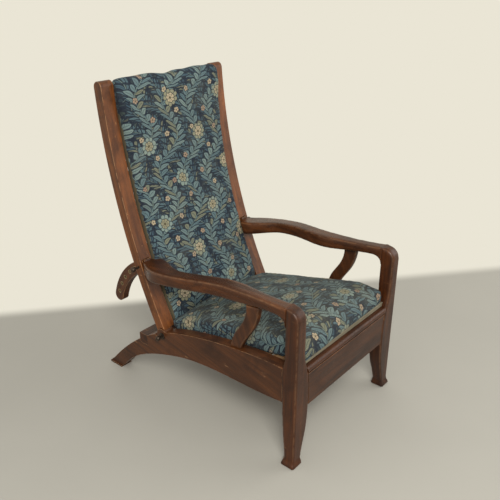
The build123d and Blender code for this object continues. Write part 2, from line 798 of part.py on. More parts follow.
def seat_slats(screws):
    """The slats across the seat, on the bearers."""
    slats = []
    for start in slat_places():
        slat = deck_board(start, slat_depth, rail_inner - deck_side_gap)
        for one in screws:
            slat -= one
        slats.append(slat)
    return slats


def knobbed_rod(knob, knob_radius, neck_radius, shoulder, rod_radius, tip, at):
    """A turned rod along X with a round knob on a neck, from the knob's centre to the tip."""
    neck_join = knob + math.sqrt(knob_radius ** 2 - neck_radius ** 2)
    outline = make_face([
        ThreePointArc((knob - knob_radius, 0), (knob, knob_radius), (neck_join, neck_radius)),
        Line((neck_join, neck_radius), (shoulder, neck_radius)),
        Line((shoulder, neck_radius), (shoulder, rod_radius)),
        Line((shoulder, rod_radius), (tip, rod_radius)),
        Line((tip, rod_radius), (tip, 0)),
        Line((tip, 0), (knob - knob_radius, 0)),
    ])
    return Pos(0, *at) * revolve(outline, Axis.X)


def lock_peg():
    """Peg with a neck and a round knob, drawn out until it is just clear of the quadrant."""
    tip = -quadrant_outer - peg_tip_back
    knob = -stile_outer - peg_knob_standoff
    return knobbed_rod(knob, peg_knob_radius, peg_neck_radius, -stile_outer, peg_radius, tip, peg_point)


def pivot_pin():
    """Pin through the rail's cheeks and the stile's tongue, with a round knob outside."""
    knob = -rail_outer - pin_knob_standoff
    face = -rail_outer - washer_thickness
    tip = -rail_inner - pin_end_inset
    return knobbed_rod(knob, pin_knob_radius, pin_neck_radius, face, pin_radius, tip, pivot)


def pivot_washer():
    """Washer between the pivot knob's neck and the rail."""
    ring = cross_rod(washer_radius, -rail_outer - washer_thickness, -rail_outer, pivot)
    return ring - cross_rod(pin_radius + fixed_fit, -rail_outer - overrun, -rail_outer + overrun, pivot)


def save(name, shape):
    """Write one piece, or a group of separate solids, with Y moved to the middle of the depth."""
    solids = shape if isinstance(shape, list) else [shape]
    moved = [Pos(0, -overall_depth / 2, 0) * solid for solid in solids]
    whole = moved[0] if len(moved) == 1 else Compound(children=moved)
    export_step(whole, os.path.join("parts", name + ".step"))


def save_pair(name, shape):
    """Write a piece for the sitter's right side, which is at -X, and its mirror for the left."""
    solids = shape if isinstance(shape, list) else [shape]
    save(name + "_right", solids)
    save(name + "_left", [mirror(solid, about=Plane.YZ) for solid in solids])


def main():
    """Build every piece and write it."""
    os.makedirs("parts", exist_ok=True)
    leg_blank = front_leg()
    legs = [leg_blank, mirror(leg_blank, about=Plane.YZ)]
    near_quadrant = quadrant()
    rail = side_rail(leg_blank)
    near_arm = arm(near_quadrant)
    screws_near = bearer_screws(0)
    slat_screws_near = slat_screws()
    slat_screws_far = [mirror(one, about=Plane.YZ) for one in slat_screws_near]
    for one in screws_near:
        rail -= one
    save_pair("front_leg", leg_blank - rail_tenon() - front_rail_tenon())
    save_pair("side_rail", rail)
    save_pair("arm", near_arm)
    save_pair("arm_strut", arm_strut(rail, near_arm))
    save_pair("quadrant", near_quadrant)
    save_pair("quadrant_eyelets", quadrant_eyelets())
    rail_front = front_rail(legs)
    nosing = front_nosing(legs)
    save("front_rail", rail_front)
    save("front_nosing", nosing)
    save("corner_blocks", corner_blocks(legs, rail_front))
    save("rear_cross_rail", rear_cross_rail())
    save_pair("seat_bearer", seat_bearer(screws_near + slat_screws_near))
    save("seat_deck_front", seat_deck_front(legs, nosing))
    save("seat_slats", seat_slats(slat_screws_near + slat_screws_far))
    save_pair("bearer_screws", screws_near)
    save("slat_screws", slat_screws_near + slat_screws_far)
    top_rail = back_top_rail()
    bottom_rail = back_bottom_rail()
    save_pair("back_stile", back_stile(top_rail, bottom_rail))
    save("back_top_rail", top_rail)
    save("back_bottom_rail", bottom_rail)
    save("back_slats", back_slats())
    save("back_pad", back_pad())
    save("seat_cushion", seat_cushion())
    save_pair("lock_peg", lock_peg())
    save_pair("pivot_pin", pivot_pin())
    save_pair("pivot_washer", pivot_washer())


main()
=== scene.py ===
import bpy
import bmesh
import json
import math
import numpy

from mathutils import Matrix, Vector, bvhtree, kdtree, noise


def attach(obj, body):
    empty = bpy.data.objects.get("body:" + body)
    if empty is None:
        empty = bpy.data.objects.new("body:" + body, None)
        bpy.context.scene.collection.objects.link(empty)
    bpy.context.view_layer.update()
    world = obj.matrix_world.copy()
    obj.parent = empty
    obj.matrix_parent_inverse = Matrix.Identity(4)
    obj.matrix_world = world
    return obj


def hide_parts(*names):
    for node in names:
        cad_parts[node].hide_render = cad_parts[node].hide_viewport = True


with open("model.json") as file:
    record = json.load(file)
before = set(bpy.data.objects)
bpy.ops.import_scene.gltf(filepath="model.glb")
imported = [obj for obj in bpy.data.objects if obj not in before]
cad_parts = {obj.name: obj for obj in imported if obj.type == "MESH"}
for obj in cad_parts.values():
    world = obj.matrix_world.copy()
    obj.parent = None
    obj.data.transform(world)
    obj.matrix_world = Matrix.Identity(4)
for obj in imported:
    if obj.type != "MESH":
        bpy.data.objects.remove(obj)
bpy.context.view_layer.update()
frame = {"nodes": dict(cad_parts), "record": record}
print("frame loaded:", len(frame["nodes"]), "nodes")


# camera, at the place and angle of the photograph
photoView = {
    "place": (-1.4365, -1.2445, 1.3748),
    "yaw": 49.588,
    "pitch": 24.925,
    "lens": 45.17,
    "sensor": 36,
}


def makeCamera(view):
    data = bpy.data.cameras.new("photoCamera")
    data.lens = view["lens"]
    data.sensor_width = view["sensor"]
    camera = bpy.data.objects.new("photoCamera", data)
    camera.location = view["place"]
    camera.rotation_euler = (math.radians(90 - view["pitch"]), 0, math.radians(-view["yaw"]))
    bpy.context.scene.collection.objects.link(camera)
    bpy.context.scene.camera = camera


makeCamera(photoView)
print("camera placed")


# shader maths: one small class round a socket
class Wire:
    def __init__(self, tree, socket):
        self.tree = tree
        self.socket = socket

    def math(self, operation, *others):
        node = self.tree.nodes.new("ShaderNodeMath")
        node.operation = operation
        for slot, value in enumerate((self,) + others):
            plug(self.tree, node.inputs[slot], value)
        return Wire(self.tree, node.outputs[0])

    def __add__(self, other):
        return self.math("ADD", other)

    def __radd__(self, other):
        return self.math("ADD", other)

    def __sub__(self, other):
        return self.math("SUBTRACT", other)

    def __rsub__(self, other):
        return (self * -1) + other

    def __mul__(self, other):
        return self.math("MULTIPLY", other)

    def __rmul__(self, other):
        return self.math("MULTIPLY", other)

    def __truediv__(self, other):
        return self.math("DIVIDE", other)

    def __pow__(self, other):
        return self.math("POWER", other)

    def higher(self, other):
        return self.math("MAXIMUM", other)

    def size(self):
        return self.math("ABSOLUTE")


def plug(tree, socket, value):
    if isinstance(value, Wire):
        tree.links.new(value.socket, socket)
    else:
        socket.default_value = value


# every other node comes from one method, where n0 and n6 are sockets by number
class Nodes:
    def __init__(self, tree):
        self.tree = tree

    def node(self, kind, settings=None, take=0, **values):
        made = self.tree.nodes.new(kind)
        for key, value in (settings or {}).items():
            setattr(made, key, value)
        for key, value in values.items():
            plug(self.tree, self.find(made, key), value)
        return Wire(self.tree, made.outputs[take])

    def find(self, made, key):
        if key.startswith("n") and key[1:].isdigit():
            return made.inputs[int(key[1:])]
        wanted = key.replace("_", " ").lower()
        return next(s for s in made.inputs if s.name.lower() == wanted and s.enabled)

    def mix(self, fac, first, second, blend="MIX"):
        first, second = (shade if isinstance(shade, Wire) else (*shade, 1) for shade in (first, second))
        return self.node("ShaderNodeMix", {"data_type": "RGBA", "blend_type": blend}, take=2, n0=fac,
                         n6=first, n7=second)

    # what the camera and reflections see, as against what lights the chair
    def seen(self):
        camera = self.node("ShaderNodeLightPath", take="Is Camera Ray")
        return camera.higher(self.node("ShaderNodeLightPath", take="Is Glossy Ray"))


class Finish(Nodes):
    def __init__(self, name):
        self.material = bpy.data.materials.new(name)
        self.material.use_nodes = True
        Nodes.__init__(self, self.material.node_tree)
        self.tree.nodes.clear()
        self.out = self.tree.nodes.new("ShaderNodeOutputMaterial")
        self.skin = self.tree.nodes.new("ShaderNodeBsdfPrincipled")
        self.tree.links.new(self.skin.outputs[0], self.out.inputs[0])

    def coords(self):
        return self.node("ShaderNodeTexCoord", take="Object")

    def mapped(self, vector, scale=(1, 1, 1), turn=(0, 0, 0), move=(0, 0, 0)):
        return self.node("ShaderNodeMapping", Vector=vector, Scale=scale, Rotation=turn, Location=move)

    def noise(self, vector, scale, detail=4.0, rough=0.55, twist=0.0):
        return self.node("ShaderNodeTexNoise", Vector=vector, Scale=scale, Detail=detail, Roughness=rough,
                         Distortion=twist)

    def painted(self, name):
        return self.node("ShaderNodeAttribute", {"attribute_name": name}, take="Fac")

    def split(self, vector):
        made = self.node("ShaderNodeSeparateXYZ", n0=vector)
        return [Wire(self.tree, socket) for socket in made.socket.node.outputs]

    def ramp(self, fac, low, high):
        return self.node("ShaderNodeMapRange", {"interpolation_type": "SMOOTHSTEP"}, Value=fac, From_Min=low,
                         From_Max=high)

    def bump(self, height, strength, distance):
        return self.node("ShaderNodeBump", Height=height, Strength=strength, Distance=distance)

    def set(self, **values):
        for key, value in values.items():
            plug(self.tree, self.find(self.skin, key), value)
        return self.material


def srgb(*levels):
    shares = [level / 255 for level in levels]
    return tuple(share / 12.92 if share <= 0.04 else ((share + 0.055) / 1.055) ** 2.4 for share in shares)


# wood: slow figure, streaks, fibres, pores and flecks along the grain, scuffs and worn arrises
woodShades = {
    "dark": srgb(34, 17, 8),
    "middle": srgb(70, 37, 17),
    "light": srgb(112, 65, 30),
    "worn": srgb(206, 158, 112),
}
# a layer's stretch, then its noise: scale, detail, roughness, twist
woodGrain = {
    "figure": ((1, 1, 0.08), 24, 5, 0.6, 1.6),
    "streak": ((1, 1, 0.04), 95, 4, 0.6, 0.7),
    "slow": ((1, 1, 0.3), 7, 2, 0.5, 0.6),
    "fibre": ((1, 1, 0.025), 620, 3, 0.6),
    "pores": ((1, 1, 0.045), 1150, 2, 0.5),
    "fleck": ((1, 0.5, 2.4), 170, 3, 0.6),
}
# what colours the wood, in order: the band of the noise that shows, its strength and its shade
woodMarks = {
    "fleck": {"band": (0.58, 0.72), "strength": 0.22, "shade": "light"},
    "streak": {"band": (0.42, 0.7), "strength": 0.5, "shade": "dark"},
    "fibre": {"band": (0.35, 0.75), "strength": 0.3, "shade": "dark"},
    "pores": {"band": (0.58, 0.72), "strength": 0.5, "shade": "deep"},
    "handled": {"band": (0.48, 0.72), "strength": 0.5, "shade": "dark"},
    "scuff": {"band": (0.68, 0.74), "strength": 0.25, "shade": "worn"},
}
woodLook = {
    "figure": 0.7,
    "slow": 0.4,
    "warmBand": (0.34, 0.74),
    "middle": 0.4,
    "deep": 0.4,
    "scuffTurn": (0.5, 0.9, 0.3),
    "scuffStretch": (1, 0.12, 0.5),
    "rubbedBand": (0.36, 0.56),
    "rubbed": 0.72,
    "relief": (0.5, 0.0004),
    "gleam": 0.32,
}


def woodFinish(name, turn=(0, 0, 0), move=(0, 0, 0), tone=(1, 1, 1), shine=0.36, wear=1.0,
               shades=woodShades):
    wood = Finish(name)
    place = wood.coords()
    turned = wood.mapped(place, turn=turn, move=move)
    grain = {}
    for layer, (stretch, *amounts) in woodGrain.items():
        grain[layer] = wood.noise(wood.mapped(turned, scale=stretch), *amounts)
    scuffed = wood.mapped(place, turn=woodLook["scuffTurn"], scale=woodLook["scuffStretch"])
    grain["scuff"] = wood.noise(scuffed, 95, 3, 0.65)
    grain["handled"] = wood.noise(place, 9, 4, 0.62, 0.8)
    marks = {layer: wood.ramp(grain[layer], *look["band"]) for layer, look in woodMarks.items()}
    warm = grain["figure"] * woodLook["figure"] + grain["slow"] * woodLook["slow"]
    colour = wood.mix(wood.ramp(warm, *woodLook["warmBand"]), shades["dark"], shades["light"])
    colour = wood.mix(woodLook["middle"], colour, shades["middle"])
    mixed = {**shades, "deep": tuple(c * woodLook["deep"] for c in shades["dark"])}
    for layer, look in woodMarks.items():
        colour = wood.mix(marks[layer] * look["strength"], colour, mixed[look["shade"]])
    colour = wood.mix(1.0, colour, tone, "MULTIPLY")
    patchy = wood.ramp(wood.noise(place, 38, 4, 0.75), *woodLook["rubbedBand"])
    rubbed = wood.painted("arris") * patchy * wear
    colour = wood.mix(rubbed * woodLook["rubbed"], colour, shades["worn"])
    rough = grain["handled"] * 0.3 + (shine - 0.14) + marks["pores"] * 0.15 - rubbed * 0.1
    relief = grain["fibre"] * 0.4 - marks["pores"] * 0.7 + grain["figure"] * 0.25 - marks["scuff"] * 0.3
    return wood.set(Base_Color=colour, Roughness=rough, Normal=wood.bump(relief, *woodLook["relief"]),
                    Specular_IOR_Level=woodLook["gleam"])


quarter = math.pi / 2
paleShades = {
    "dark": srgb(104, 74, 47),
    "middle": srgb(142, 107, 72),
    "light": srgb(172, 138, 98),
    "worn": srgb(196, 168, 130),
}
deckShades = {
    "dark": srgb(92, 84, 66),
    "middle": srgb(126, 118, 98),
    "light": srgb(150, 142, 120),
    "worn": srgb(176, 168, 148),
}
woodFinishes = {
    "post": woodFinish("postWood", move=(0.3, 0.1, 0), tone=(0.72, 0.63, 0.55), shine=0.34),
    "rail": woodFinish("railWood", turn=(quarter - 0.2, 0, 0), move=(0.7, 0, 0.2)),
    "arm": woodFinish("armWood", turn=(quarter, 0, 0), move=(1.3, 0.4, 0), tone=(0.92, 0.87, 0.84),
                      shine=0.28),
    "strut": woodFinish("strutWood", turn=(0.35, 0, 0), move=(2.1, 0, 0)),
    "stile": woodFinish("stileWood", turn=(0.27, 0, 0), move=(0.2, 1.4, 0), tone=(1.95, 1.9, 1.6),
                        wear=0.6),
    "bar": woodFinish("barWood", turn=(-0.6, 0, 0), move=(1.7, 0.5, 0), tone=(0.9, 0.88, 0.88)),
    # the cross rails' darker tone is a painted shade, for how the key light falls on them
    "cross": woodFinish("crossWood", turn=(0, quarter, 0), move=(0, 2.2, 0.3), tone=(0.66, 0.6, 0.56),
                        wear=0.3),
    "inner": woodFinish("innerWood", turn=(0, quarter, 0), shine=0.66, wear=0.4, shades=paleShades),
    "slat": woodFinish("slatWood", turn=(0.27, 0, 0), move=(0.4, 2.3, 0), shine=0.66, wear=0.4,
                       shades=paleShades),
    "deck": woodFinish("deckWood", turn=(0, quarter, 0), shine=0.6, wear=0.5, shades=deckShades),
}
print("wood finishes made")


def newPiece(name, mesh):
    piece = bpy.data.objects.new(name, mesh)
    bpy.context.scene.collection.objects.link(piece)
    return piece


def bakedMesh(piece):
    bpy.context.view_layer.update()
    graph = bpy.context.evaluated_depsgraph_get()
    return bpy.data.meshes.new_from_object(piece.evaluated_get(graph))


def voxelMesh(mesh, size):
    piece = newPiece(mesh.name, mesh)
    remesh = piece.modifiers.new("voxels", "REMESH")
    remesh.mode = "VOXEL"
    remesh.voxel_size = size
    made = bakedMesh(piece)
    bpy.data.objects.remove(piece)
    return made


def treeOf(spots):
    tree = kdtree.KDTree(len(spots))
    for index, spot in enumerate(spots):
        tree.insert(spot, index)
    tree.balance()
    return tree


def mergedCopy(node):
    shape = bmesh.new()
    shape.from_mesh(frame["nodes"][node].data)
    bmesh.ops.remove_doubles(shape, verts=shape.verts, dist=1e-5)
    bmesh.ops.dissolve_limit(shape, angle_limit=math.radians(1), verts=shape.verts, edges=shape.edges)
    shape.normal_update()
    return shape


def smoothFall(value, reach):
    return math.exp(-((value / reach) ** 2))


# the least angle, in degrees, of the edges that are bevelled, rounded more, or shaded sharp
edgeAngles = {"bevelled": 38, "rounder": 30, "sharp": 38, "sharpWorn": 75, "seam": 35}


def crispEdges(shape, least, wanted=None):
    found = []
    for edge in shape.edges:
        if len(edge.link_faces) == 2 and edge.calc_face_angle_signed(0) > math.radians(least):
            if wanted is None or wanted(edge):
                found.append(edge)
    return found


def rubDown(shape, edges, radius, steps=3):
    arris = shape.verts.layers.float.get("arris") or shape.verts.layers.float.new("arris")
    made = bmesh.ops.bevel(shape, geom=edges, offset=radius, offset_type="OFFSET", segments=steps,
                           profile=0.5, affect="EDGES", material=-1, clamp_overlap=True)
    fresh = set(made["faces"])
    for vert in made["verts"]:
        if vert.is_valid and all(face in fresh for face in vert.link_faces):
            vert[arris] = 1
    shape.normal_update()


def bodyHolding(node):
    bodies = frame["record"]["behaviour"]["bodies"]
    return next(name for name, held in bodies.items() if node in held)


def hangPiece(shape, name, node, material, sharp=edgeAngles["sharp"]):
    mesh = bpy.data.meshes.new(name)
    shape.to_mesh(mesh)
    shape.free()
    mesh.polygons.foreach_set("use_smooth", [True] * len(mesh.polygons))
    mesh.set_sharp_from_angle(angle=math.radians(sharp))
    mesh.materials.append(material)
    piece = newPiece(name, mesh)
    even = piece.modifiers.new("evenNormals", "WEIGHTED_NORMAL")
    even.keep_sharp = True
    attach(piece, bodyHolding(node))
    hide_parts(node)


# edges that don't run across the chair are rubbed rounder than the rest
def uprightEdge(edge):
    line = edge.verts[1].co - edge.verts[0].co
    return abs(line.x) < 0.3 * line.length


# the arms, front posts and struts are worn round: fine voxels, relaxed near their edges
armWear = {"front": -0.3775, "rear": 0.205, "top": 0.015, "under": 0.008}
legWear = {"joint": (-0.3815, 0.46), "railTop": 0.34, "footTop": 0.03, "post": 0.013, "leg": 0.006,
           "foot": 0.003}
strutWear = 0.008
edgeWear = {"spacing": 0.003, "held": 0.0035, "width": 0.0028, "least": 0.004}


def armReach(edge):
    middle = (edge.verts[0].co + edge.verts[1].co) / 2
    if middle.y < armWear["front"] or middle.y > armWear["rear"]:
        return 0
    return armWear["top"] if max(face.normal.z for face in edge.link_faces) > 0.6 else armWear["under"]


def legReach(edge):
    middle = (edge.verts[0].co + edge.verts[1].co) / 2
    if middle.y > legWear["joint"][0] and middle.z > legWear["joint"][1]:
        return 0
    if middle.z > legWear["railTop"]:
        return legWear["post"]
    return legWear["leg"] if middle.z > legWear["footTop"] else legWear["foot"]


def strutReach(edge):
    return strutWear if uprightEdge(edge) else 0


def softShape(node, look):
    source = mergedCopy(node)
    spots, reaches = [], []
    for edge in crispEdges(source, edgeAngles["rounder"]):
        reach = look["reach"](edge)
        first, second = edge.verts[0].co, edge.verts[1].co
        count = max(1, int((second - first).length / edgeWear["spacing"]))
        spots += [first.lerp(second, step / count) for step in range(count + 1)]
        reaches += [reach] * (count + 1)
    tree = treeOf(spots)
    mesh = bpy.data.meshes.new(node + "Fine")
    source.to_mesh(mesh)
    source.free()
    mesh = voxelMesh(mesh, look["voxel"])
    found = [tree.find(vert.co) for vert in mesh.vertices]
    far = numpy.array([hit[2] for hit in found])
    reach = numpy.array([reaches[hit[1]] for hit in found])
    hold = numpy.clip((reach - far) / (reach * 0.4 + 1e-6), 0, 1)[:, None] * look["relax"]
    places = numpy.empty(len(mesh.vertices) * 3)
    mesh.vertices.foreach_get("co", places)
    places = places.reshape(-1, 3)
    ends = numpy.empty(len(mesh.edges) * 2, dtype=numpy.int32)
    mesh.edges.foreach_get("vertices", ends)
    ends = ends.reshape(-1, 2)
    degree = numpy.bincount(ends.ravel(), minlength=len(places))[:, None]
    joined = abs(places[:, 1] - look["joint"]) < edgeWear["held"]
    for step in range(look["rounds"]):
        total = numpy.zeros_like(places)
        numpy.add.at(total, ends[:, 0], places[ends[:, 1]])
        numpy.add.at(total, ends[:, 1], places[ends[:, 0]])
        moved = (total / degree - places) * hold
        moved[joined, 1] = 0
        places += moved
    mesh.vertices.foreach_set("co", places.ravel())
    shape = bmesh.new()
    shape.from_mesh(mesh)
    bpy.data.meshes.remove(mesh)
    arris = shape.verts.layers.float.new("arris")
    shape.verts.ensure_lookup_table()
    for vert, away, wide in zip(shape.verts, far, reach):
        vert[arris] = look["wear"] * smoothFall(away, edgeWear["width"]) if wide > edgeWear["least"] else 0
    return shape


# "joint" is where the arm meets the post, which stays flush, and the struts have none
softWood = {
    "arm": {"reach": armReach, "voxel": 0.0026, "rounds": 34, "relax": 0.5, "wear": 0.22, "joint": -0.38},
    "front_leg": {"reach": legReach, "voxel": 0.0026, "rounds": 30, "relax": 0.5, "wear": 0.15,
                  "joint": -0.38},
    "arm_strut": {"reach": strutReach, "voxel": 0.0022, "rounds": 16, "relax": 0.5, "wear": 0.22,
                  "joint": math.inf},
}
# "radius" is the bevel of every crisp edge, "rounder" that of the upright ones
woodPieces = {
    "front_leg": {"finish": "post", "pair": True},
    "side_rail": {"finish": "rail", "radius": 0.0012, "rounder": 0.0022, "pair": True},
    "arm": {"finish": "arm", "pair": True},
    "arm_strut": {"finish": "strut", "pair": True},
    "quadrant": {"finish": "bar", "radius": 0.0009, "pair": True},
    "back_stile": {"finish": "stile", "radius": 0.0014, "rounder": 0.0035, "pair": True},
    "front_rail": {"finish": "cross", "radius": 0.0012, "pair": False},
    "front_nosing": {"finish": "cross", "radius": 0.001, "pair": False},
    "rear_cross_rail": {"finish": "cross", "radius": 0.0015, "pair": False},
    "back_top_rail": {"finish": "cross", "radius": 0.0015, "pair": False},
    "back_bottom_rail": {"finish": "cross", "radius": 0.0015, "pair": False},
    "seat_bearer": {"finish": "inner", "radius": 0.001, "pair": True},
    "corner_blocks": {"finish": "inner", "radius": 0.0008, "pair": False},
    "seat_slats": {"finish": "inner", "radius": 0.001, "pair": False},
    "back_slats": {"finish": "slat", "radius": 0.001, "pair": False},
    "seat_deck_front": {"finish": "deck", "radius": 0.001, "pair": False},
}


def plainName(node):
    first, *rest = node.split("_")
    return first + "".join(word.capitalize() for word in rest) + "Wood"


def slotOf(node):
    return frame["nodes"][node].data.materials[0].name


for stem, look in woodPieces.items():
    for node in ([stem + "_left", stem + "_right"] if look["pair"] else [stem]):
        finish = woodFinishes[look["finish"]]
        if stem in softWood:
            shape = softShape(node, softWood[stem])
            hangPiece(shape, plainName(node), node, finish, edgeAngles["sharpWorn"])
            continue
        shape = mergedCopy(node)
        if "rounder" in look:
            rubDown(shape, crispEdges(shape, edgeAngles["rounder"], uprightEdge), look["rounder"])
        rubDown(shape, crispEdges(shape, edgeAngles["bevelled"]), look["radius"], 2)
        hangPiece(shape, plainName(node), node, finish)
print("wood pieces rubbed down")


# upholstery: a navy ground, winding stems with paired leaves, broad leaves and round blossoms
fabricShades = {
    "ground": srgb(18, 27, 42),
    "groundPale": srgb(26, 38, 53),
    "leafDeep": srgb(54, 76, 88),
    "leafBlue": srgb(88, 112, 116),
    "leafPale": srgb(124, 142, 134),
    "leafGreen": srgb(92, 106, 86),
    "broad": srgb(126, 124, 96),
    "stem": srgb(108, 126, 118),
    "petal": srgb(184, 168, 136),
    "petalRose": srgb(150, 124, 104),
    "petalOlive": srgb(138, 134, 106),
    "heart": srgb(82, 74, 54),
    "dust": srgb(112, 110, 94),
    "faded": srgb(98, 92, 66),
    # the plain cloth of the pad's sides and rear, darkened as a painted shade for the band beside the stiles
    "plain": srgb(84, 75, 54),
}


fullTurn = 6.28


class Cloth(Finish):
    def joined(self, x, y, z=0.0):
        return self.node("ShaderNodeCombineXYZ", X=x, Y=y, Z=z)

    def step(self, value, edge, soft):
        return self.ramp(value, edge - soft, edge + soft)

    def chances(self, x, y, z=0.0):
        return self.split(self.node("ShaderNodeTexWhiteNoise", take="Color", Vector=self.joined(x, y, z)))

    # stems side by side, each swaying, with leaves in turn on both sides
    def fronds(self, flat, look):
        placed = self.mapped(flat, turn=(0, 0, look["turn"]), move=(*look["offset"], 0))
        x, y = self.split(placed)[:2]
        sway = (y * (2 * math.pi / look["wave"])).math("SINE") * look["sway"]
        field = (x + sway) / look["pitch"]
        index = field.math("ROUND")
        aside = (field - index) * look["pitch"]
        side = aside.math("SIGN")
        out = aside.size()
        lean = math.radians(look["lean"])
        rise = y - out * (1 / math.tan(lean)) + out * out * look["bend"]
        foot = rise / look["apart"] + side * 0.25 + index * 0.37
        count = foot.math("ROUND")
        off = (foot - count) * (look["apart"] * math.sin(lean))
        chance = self.chances(count, index, side)
        long = (chance[0] * 0.55 + 0.72) * (look["long"] * math.sin(lean))
        along = (out - look["start"]) / long
        swell = (along * (1 - along) * 4).higher(0) ** 0.75
        edge = swell * ((0.5 - along) * look["belly"] + 1) * (look["wide"] / 2)
        shown = self.step(along, 0.02, 0.02)
        blade = self.step(edge - off.size(), 0.0001, 0.0004) * shown
        rib = self.step(off.size() * -1, -look["rib"], 0.00025) * blade * self.step(along * -1, -0.8, 0.08)
        veins = ((out - off.size() * 1.3) * (2 * math.pi / look["vein"])).math("SINE")
        veins = self.step(veins, 0.55, 0.3) * blade * look["veined"]
        stem = self.step(out * -1, -look["stem"], 0.0003)
        halo = self.step(edge - off.size(), -look["halo"], 0.0005) * shown
        return blade, rib.higher(veins), stem, halo, chance

    # blossoms set out in staggered rows, each with petals, an inner ring and a heart
    def blossoms(self, flat, look):
        x, y = self.split(self.mapped(flat, move=(*look["offset"], 0)))[:2]
        row = (y / look["rise"]).math("ROUND")
        shift = row * 0.5
        column = (x / look["pitch"] - shift).math("ROUND") + shift
        chance = self.chances(row, column, 3.7)
        away = (x - column * look["pitch"]) + (chance[0] - 0.5) * look["stray"]
        up = (y - row * look["rise"]) + (chance[1] - 0.5) * look["stray"]
        far = (away * away + up * up).math("SQRT")
        angle = up.math("ARCTAN2", away) + chance[2] * fullTurn
        lobes = (angle * (look["petals"] / 2)).math("SINE").size()
        reach = (lobes ** 0.6 * 0.3 + 0.7) * look["radius"]
        petal = self.step(reach - far, 0, 0.0005)
        line = self.step(lobes * -1, -0.3, 0.14) * petal
        ring = self.step(reach * 0.62 - far, 0, 0.0004)
        ring = ring * self.step(far - reach * 0.55, 0, 0.0004)
        heart = self.step(far * -1, -look["radius"] * 0.27, 0.0004)
        halo = self.step(reach - far, -0.0022, 0.0006)
        return petal, line.higher(ring), heart, halo, chance


frondLayers = [
    {"turn": 0.42, "offset": (0.013, 0.4), "pitch": 0.037, "wave": 0.15, "sway": 0.012, "lean": 38,
     "bend": 9.0, "apart": 0.0128, "long": 0.024, "wide": 0.0058, "belly": 0.5, "start": 0.0006,
     "rib": 0.0003, "vein": 0.003, "veined": 0.0, "stem": 0.0006, "halo": 0.0009,
     "shade": ("leafDeep", "leafGreen"), "strength": 0.34},
    {"turn": -0.6, "offset": (0.21, 0.07), "pitch": 0.064, "wave": 0.21, "sway": 0.022, "lean": 36,
     "bend": 10.0, "apart": 0.0185, "long": 0.043, "wide": 0.0078, "belly": 0.6, "start": 0.0008,
     "rib": 0.00045, "vein": 0.0034, "veined": 0.25, "stem": 0.0009, "halo": 0.0018,
     "shade": ("leafBlue", "leafDeep"), "strength": 0.94},
    {"turn": 0.22, "offset": (0.02, 0.0), "pitch": 0.118, "wave": 0.26, "sway": 0.042, "lean": 48,
     "bend": 8.0, "apart": 0.0215, "long": 0.048, "wide": 0.0118, "belly": 0.5, "start": 0.001,
     "rib": 0.0006, "vein": 0.0042, "veined": 0.6, "stem": 0.0014, "halo": 0.0024,
     "shade": ("leafPale", "leafBlue"), "strength": 0.97},
]
blossomLayers = [
    {"offset": (0.031, 0.022), "rise": 0.078, "pitch": 0.131, "stray": 0.03, "petals": 5, "radius": 0.0102,
     "shade": ("petal", "petalRose")},
    {"offset": (0.0, 0.071), "rise": 0.146, "pitch": 0.256, "stray": 0.016, "petals": 9, "radius": 0.032,
     "shade": ("petalOlive", "leafPale")},
    {"offset": (0.0, 0.071), "rise": 0.146, "pitch": 0.256, "stray": 0.016, "petals": 7, "radius": 0.018,
     "shade": ("petal", "petalOlive")},
]


fabricLook = {
    "scale": (1.12, 1.12, 1),
    "waver": 0.012,
    "halo": 0.92,
    "stem": 0.85,
    "rib": 0.75,
    "line": 0.7,
    "oddLeaf": (0.86, 0.8),
    "warp": 0.0011,
    "weft": 0.0013,
    "dust": 0.16,
    "thread": 0.12,
    "worn": 0.18,
    "faded": 0.2,
    "seam": 0.3,
    "relief": (0.55, 0.0005),
}


